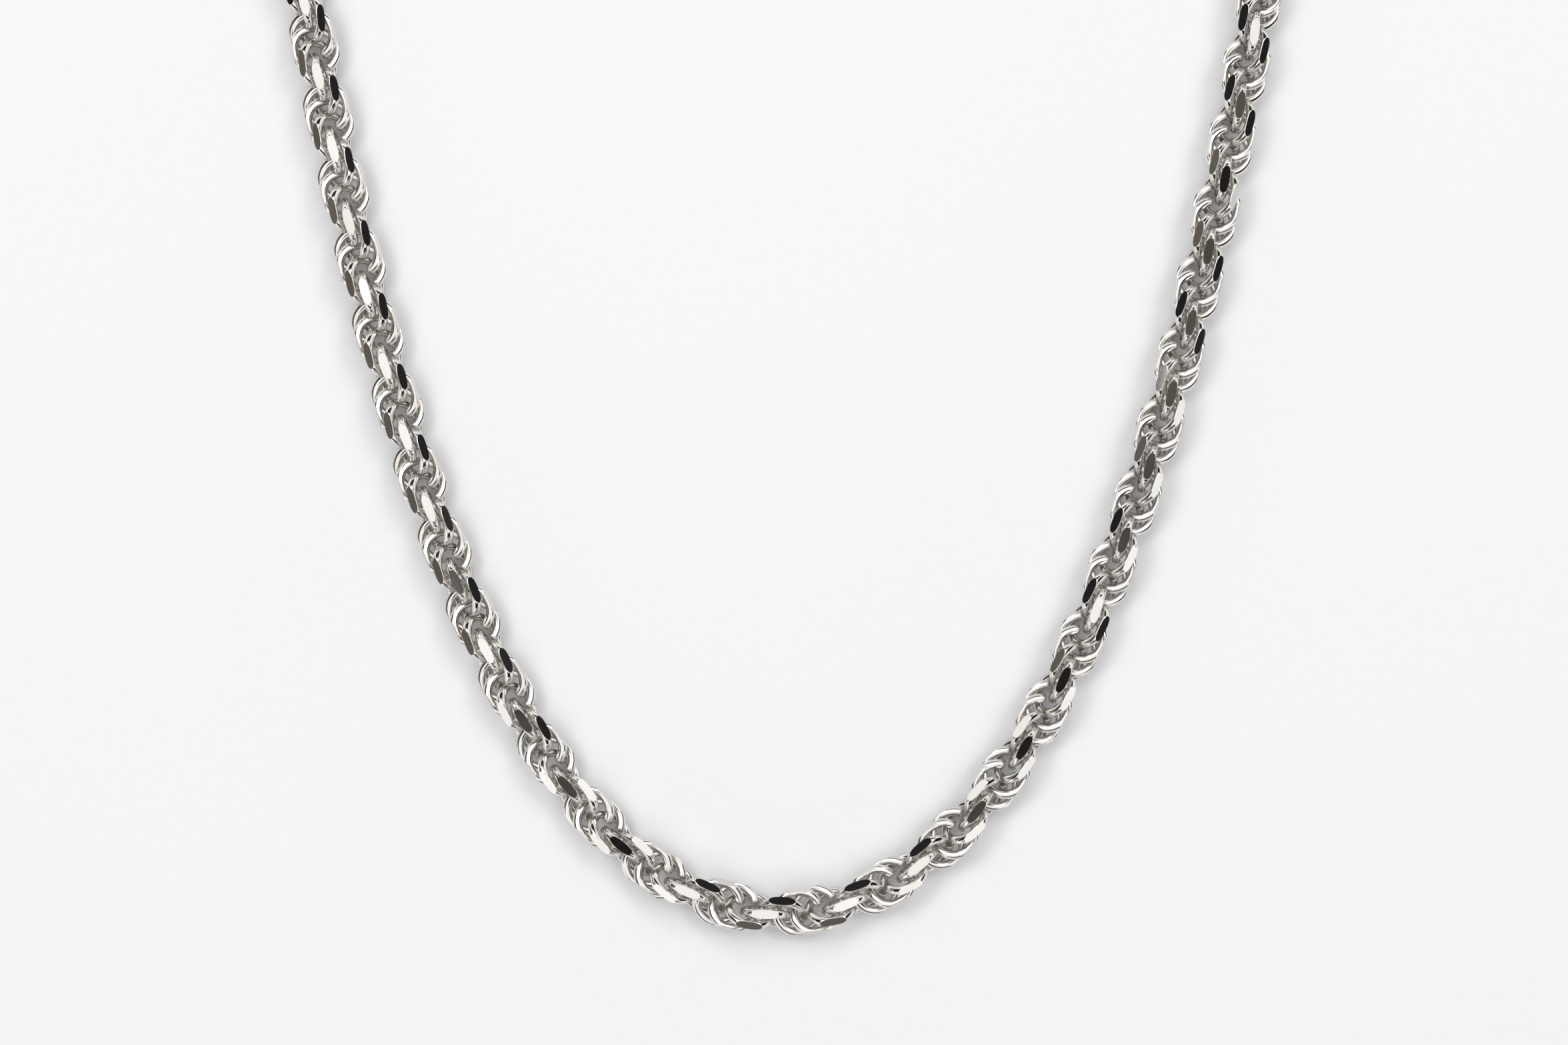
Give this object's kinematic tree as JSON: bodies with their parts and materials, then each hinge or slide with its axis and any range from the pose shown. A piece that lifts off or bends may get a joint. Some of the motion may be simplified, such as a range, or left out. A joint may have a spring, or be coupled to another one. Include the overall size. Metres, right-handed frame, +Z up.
{
  "type": "rope chain necklace",
  "caption": "Diamond cut rope chain necklace in polished white metal with a lobster clasp, unclasped and laid out flat as an open U.",
  "frame": {"origin": "centre of the bounding box's bottom face, on the surface the necklace lies on", "axes": "+Z up off the surface, +Y from the bottom of the U towards its open end, +X to the clasp's side"},
  "size_m": [0.1428, 0.2472, 0.005],
  "materials": {
    "chain_silver": "polished rhodium plated silver",
    "ring_silver": "polished rhodium plated silver",
    "clasp_silver": "polished rhodium plated silver",
    "pin_steel": "drawn steel",
    "spring_steel": "spring steel"
  },
  "bodies": {
    "chain_middle": {"chain_middle": "chain_silver"},
    "chain_left_01": {"chain_left_01": "chain_silver"},
    "chain_left_02": {"chain_left_02": "chain_silver"},
    "chain_left_03": {"chain_left_03": "chain_silver"},
    "chain_left_04": {"chain_left_04": "chain_silver"},
    "chain_left_05": {"chain_left_05": "chain_silver"},
    "chain_left_06": {"chain_left_06": "chain_silver"},
    "chain_left_07": {"chain_left_07": "chain_silver"},
    "chain_left_08": {"chain_left_08": "chain_silver"},
    "chain_left_09": {"chain_left_09": "chain_silver"},
    "chain_left_10": {"chain_left_10": "chain_silver"},
    "chain_left_11": {"chain_left_11": "chain_silver"},
    "chain_left_12": {"chain_left_12": "chain_silver"},
    "chain_left_13": {"chain_left_13": "chain_silver"},
    "chain_left_14": {"chain_left_14": "chain_silver"},
    "chain_left_15": {"chain_left_15": "chain_silver"},
    "chain_left_16": {"chain_left_16": "chain_silver"},
    "chain_left_17": {"chain_left_17": "chain_silver"},
    "chain_left_18": {"chain_left_18": "chain_silver"},
    "chain_left_19": {"chain_left_19": "chain_silver"},
    "chain_left_20": {"chain_left_20": "chain_silver"},
    "chain_left_21": {"chain_left_21": "chain_silver"},
    "chain_right_01": {"chain_right_01": "chain_silver"},
    "chain_right_02": {"chain_right_02": "chain_silver"},
    "chain_right_03": {"chain_right_03": "chain_silver"},
    "chain_right_04": {"chain_right_04": "chain_silver"},
    "chain_right_05": {"chain_right_05": "chain_silver"},
    "chain_right_06": {"chain_right_06": "chain_silver"},
    "chain_right_07": {"chain_right_07": "chain_silver"},
    "chain_right_08": {"chain_right_08": "chain_silver"},
    "chain_right_09": {"chain_right_09": "chain_silver"},
    "chain_right_10": {"chain_right_10": "chain_silver"},
    "chain_right_11": {"chain_right_11": "chain_silver"},
    "chain_right_12": {"chain_right_12": "chain_silver"},
    "chain_right_13": {"chain_right_13": "chain_silver"},
    "chain_right_14": {"chain_right_14": "chain_silver"},
    "chain_right_15": {"chain_right_15": "chain_silver"},
    "chain_right_16": {"chain_right_16": "chain_silver"},
    "chain_right_17": {"chain_right_17": "chain_silver"},
    "chain_right_18": {"chain_right_18": "chain_silver"},
    "chain_right_19": {"chain_right_19": "chain_silver"},
    "chain_right_20": {"chain_right_20": "chain_silver"},
    "chain_right_21": {"chain_right_21": "chain_silver"},
    "left_end_ring": {"left_end_ring": "ring_silver"},
    "catch_ring": {"catch_ring": "ring_silver"},
    "right_end_ring": {"right_end_ring": "ring_silver"},
    "jump_ring": {"jump_ring": "ring_silver"},
    "clasp": {"clasp_body": "clasp_silver", "clasp_pin": "pin_steel", "clasp_spring": "spring_steel"},
    "trigger": {"clasp_trigger": "clasp_silver"}
  },
  "joints": [
    {"name": "flex_left_01", "type": "hinge", "parent": "chain_middle", "child": "chain_left_01", "pos_m": [-0.0069, -0.12022, 0.0025], "axis": [0, 0, 1], "range_deg": [-4, 4]},
    {"name": "flex_left_02", "type": "hinge", "parent": "chain_left_01", "child": "chain_left_02", "pos_m": [-0.01746, -0.11427, 0.0025], "axis": [0, 0, 1], "range_deg": [-4, 4]},
    {"name": "flex_left_03", "type": "hinge", "parent": "chain_left_02", "child": "chain_left_03", "pos_m": [-0.0254, -0.10528, 0.0025], "axis": [0, 0, 1], "range_deg": [-4, 4]},
    {"name": "flex_left_04", "type": "hinge", "parent": "chain_left_03", "child": "chain_left_04", "pos_m": [-0.0314, -0.09514, 0.0025], "axis": [0, 0, 1], "range_deg": [-4, 4]},
    {"name": "flex_left_05", "type": "hinge", "parent": "chain_left_04", "child": "chain_left_05", "pos_m": [-0.03611, -0.08457, 0.0025], "axis": [0, 0, 1], "range_deg": [-4, 4]},
    {"name": "flex_left_06", "type": "hinge", "parent": "chain_left_05", "child": "chain_left_06", "pos_m": [-0.03997, -0.07382, 0.0025], "axis": [0, 0, 1], "range_deg": [-4, 4]},
    {"name": "flex_left_07", "type": "hinge", "parent": "chain_left_06", "child": "chain_left_07", "pos_m": [-0.04323, -0.063, 0.0025], "axis": [0, 0, 1], "range_deg": [-4, 4]},
    {"name": "flex_left_08", "type": "hinge", "parent": "chain_left_07", "child": "chain_left_08", "pos_m": [-0.04606, -0.05214, 0.0025], "axis": [0, 0, 1], "range_deg": [-4, 4]},
    {"name": "flex_left_09", "type": "hinge", "parent": "chain_left_08", "child": "chain_left_09", "pos_m": [-0.04855, -0.04124, 0.0025], "axis": [0, 0, 1], "range_deg": [-4, 4]},
    {"name": "flex_left_10", "type": "hinge", "parent": "chain_left_09", "child": "chain_left_10", "pos_m": [-0.05078, -0.03031, 0.0025], "axis": [0, 0, 1], "range_deg": [-4, 4]},
    {"name": "flex_left_11", "type": "hinge", "parent": "chain_left_10", "child": "chain_left_11", "pos_m": [-0.0528, -0.01936, 0.0025], "axis": [0, 0, 1], "range_deg": [-4, 4]},
    {"name": "flex_left_12", "type": "hinge", "parent": "chain_left_11", "child": "chain_left_12", "pos_m": [-0.05464, -0.00839, 0.0025], "axis": [0, 0, 1], "range_deg": [-4, 4]},
    {"name": "flex_left_13", "type": "hinge", "parent": "chain_left_12", "child": "chain_left_13", "pos_m": [-0.05634, 0.00259, 0.0025], "axis": [0, 0, 1], "range_deg": [-4, 4]},
    {"name": "flex_left_14", "type": "hinge", "parent": "chain_left_13", "child": "chain_left_14", "pos_m": [-0.05791, 0.01359, 0.0025], "axis": [0, 0, 1], "range_deg": [-4, 4]},
    {"name": "flex_left_15", "type": "hinge", "parent": "chain_left_14", "child": "chain_left_15", "pos_m": [-0.05938, 0.0246, 0.0025], "axis": [0, 0, 1], "range_deg": [-4, 4]},
    {"name": "flex_left_16", "type": "hinge", "parent": "chain_left_15", "child": "chain_left_16", "pos_m": [-0.06075, 0.03563, 0.0025], "axis": [0, 0, 1], "range_deg": [-4, 4]},
    {"name": "flex_left_17", "type": "hinge", "parent": "chain_left_16", "child": "chain_left_17", "pos_m": [-0.06204, 0.04666, 0.0025], "axis": [0, 0, 1], "range_deg": [-4, 4]},
    {"name": "flex_left_18", "type": "hinge", "parent": "chain_left_17", "child": "chain_left_18", "pos_m": [-0.06326, 0.0577, 0.0025], "axis": [0, 0, 1], "range_deg": [-4, 4]},
    {"name": "flex_left_19", "type": "hinge", "parent": "chain_left_18", "child": "chain_left_19", "pos_m": [-0.06441, 0.06875, 0.0025], "axis": [0, 0, 1], "range_deg": [-4, 4]},
    {"name": "flex_left_20", "type": "hinge", "parent": "chain_left_19", "child": "chain_left_20", "pos_m": [-0.0655, 0.0798, 0.0025], "axis": [0, 0, 1], "range_deg": [-4, 4]},
    {"name": "flex_left_21", "type": "hinge", "parent": "chain_left_20", "child": "chain_left_21", "pos_m": [-0.06654, 0.09086, 0.0025], "axis": [0, 0, 1], "range_deg": [-4, 4]},
    {"name": "flex_right_01", "type": "hinge", "parent": "chain_middle", "child": "chain_right_01", "pos_m": [0.00522, -0.12022, 0.0025], "axis": [0, 0, 1], "range_deg": [-4, 4]},
    {"name": "flex_right_02", "type": "hinge", "parent": "chain_right_01", "child": "chain_right_02", "pos_m": [0.01578, -0.11427, 0.0025], "axis": [0, 0, 1], "range_deg": [-4, 4]},
    {"name": "flex_right_03", "type": "hinge", "parent": "chain_right_02", "child": "chain_right_03", "pos_m": [0.02373, -0.10528, 0.0025], "axis": [0, 0, 1], "range_deg": [-4, 4]},
    {"name": "flex_right_04", "type": "hinge", "parent": "chain_right_03", "child": "chain_right_04", "pos_m": [0.02972, -0.09514, 0.0025], "axis": [0, 0, 1], "range_deg": [-4, 4]},
    {"name": "flex_right_05", "type": "hinge", "parent": "chain_right_04", "child": "chain_right_05", "pos_m": [0.03444, -0.08457, 0.0025], "axis": [0, 0, 1], "range_deg": [-4, 4]},
    {"name": "flex_right_06", "type": "hinge", "parent": "chain_right_05", "child": "chain_right_06", "pos_m": [0.03829, -0.07382, 0.0025], "axis": [0, 0, 1], "range_deg": [-4, 4]},
    {"name": "flex_right_07", "type": "hinge", "parent": "chain_right_06", "child": "chain_right_07", "pos_m": [0.04155, -0.063, 0.0025], "axis": [0, 0, 1], "range_deg": [-4, 4]},
    {"name": "flex_right_08", "type": "hinge", "parent": "chain_right_07", "child": "chain_right_08", "pos_m": [0.04438, -0.05214, 0.0025], "axis": [0, 0, 1], "range_deg": [-4, 4]},
    {"name": "flex_right_09", "type": "hinge", "parent": "chain_right_08", "child": "chain_right_09", "pos_m": [0.04687, -0.04124, 0.0025], "axis": [0, 0, 1], "range_deg": [-4, 4]},
    {"name": "flex_right_10", "type": "hinge", "parent": "chain_right_09", "child": "chain_right_10", "pos_m": [0.0491, -0.03031, 0.0025], "axis": [0, 0, 1], "range_deg": [-4, 4]},
    {"name": "flex_right_11", "type": "hinge", "parent": "chain_right_10", "child": "chain_right_11", "pos_m": [0.05112, -0.01936, 0.0025], "axis": [0, 0, 1], "range_deg": [-4, 4]},
    {"name": "flex_right_12", "type": "hinge", "parent": "chain_right_11", "child": "chain_right_12", "pos_m": [0.05296, -0.00839, 0.0025], "axis": [0, 0, 1], "range_deg": [-4, 4]},
    {"name": "flex_right_13", "type": "hinge", "parent": "chain_right_12", "child": "chain_right_13", "pos_m": [0.05466, 0.00259, 0.0025], "axis": [0, 0, 1], "range_deg": [-4, 4]},
    {"name": "flex_right_14", "type": "hinge", "parent": "chain_right_13", "child": "chain_right_14", "pos_m": [0.05623, 0.01359, 0.0025], "axis": [0, 0, 1], "range_deg": [-4, 4]},
    {"name": "flex_right_15", "type": "hinge", "parent": "chain_right_14", "child": "chain_right_15", "pos_m": [0.0577, 0.0246, 0.0025], "axis": [0, 0, 1], "range_deg": [-4, 4]},
    {"name": "flex_right_16", "type": "hinge", "parent": "chain_right_15", "child": "chain_right_16", "pos_m": [0.05907, 0.03563, 0.0025], "axis": [0, 0, 1], "range_deg": [-4, 4]},
    {"name": "flex_right_17", "type": "hinge", "parent": "chain_right_16", "child": "chain_right_17", "pos_m": [0.06036, 0.04666, 0.0025], "axis": [0, 0, 1], "range_deg": [-4, 4]},
    {"name": "flex_right_18", "type": "hinge", "parent": "chain_right_17", "child": "chain_right_18", "pos_m": [0.06158, 0.0577, 0.0025], "axis": [0, 0, 1], "range_deg": [-4, 4]},
    {"name": "flex_right_19", "type": "hinge", "parent": "chain_right_18", "child": "chain_right_19", "pos_m": [0.06273, 0.06875, 0.0025], "axis": [0, 0, 1], "range_deg": [-4, 4]},
    {"name": "flex_right_20", "type": "hinge", "parent": "chain_right_19", "child": "chain_right_20", "pos_m": [0.06382, 0.0798, 0.0025], "axis": [0, 0, 1], "range_deg": [-4, 4]},
    {"name": "flex_right_21", "type": "hinge", "parent": "chain_right_20", "child": "chain_right_21", "pos_m": [0.06486, 0.09086, 0.0025], "axis": [0, 0, 1], "range_deg": [-4, 4]},
    {"name": "left_end_ring_swing", "type": "hinge", "parent": "chain_left_21", "child": "left_end_ring", "pos_m": [-0.06774, 0.1043, 0.0025], "axis": [0, 0, 1], "range_deg": [-20, 20]},
    {"name": "catch_ring_swing", "type": "hinge", "parent": "left_end_ring", "child": "catch_ring", "pos_m": [-0.06803, 0.10764, 0.0025], "axis": [0, 0, 1], "range_deg": [-20, 20]},
    {"name": "right_end_ring_swing", "type": "hinge", "parent": "chain_right_21", "child": "right_end_ring", "pos_m": [0.0661, 0.1048, 0.0025], "axis": [0, 0, 1], "range_deg": [-20, 20]},
    {"name": "jump_ring_swing", "type": "hinge", "parent": "right_end_ring", "child": "jump_ring", "pos_m": [0.06625, 0.10649, 0.0025], "axis": [0, 0, 1], "range_deg": [-30, 30]},
    {"name": "clasp_swing", "type": "hinge", "parent": "jump_ring", "child": "clasp", "pos_m": [0.0666, 0.11048, 0.0025], "axis": [0, 0, 1], "range_deg": [-30, 30]},
    {"name": "trigger_open", "type": "hinge", "parent": "clasp", "child": "trigger", "pos_m": [0.06607, 0.11674, 0.0025], "axis": [0, 0, 1], "range_deg": [-20, 0], "stiffness_Nm_per_rad": 0.0006, "deforming": ["clasp_spring"]}
  ]
}
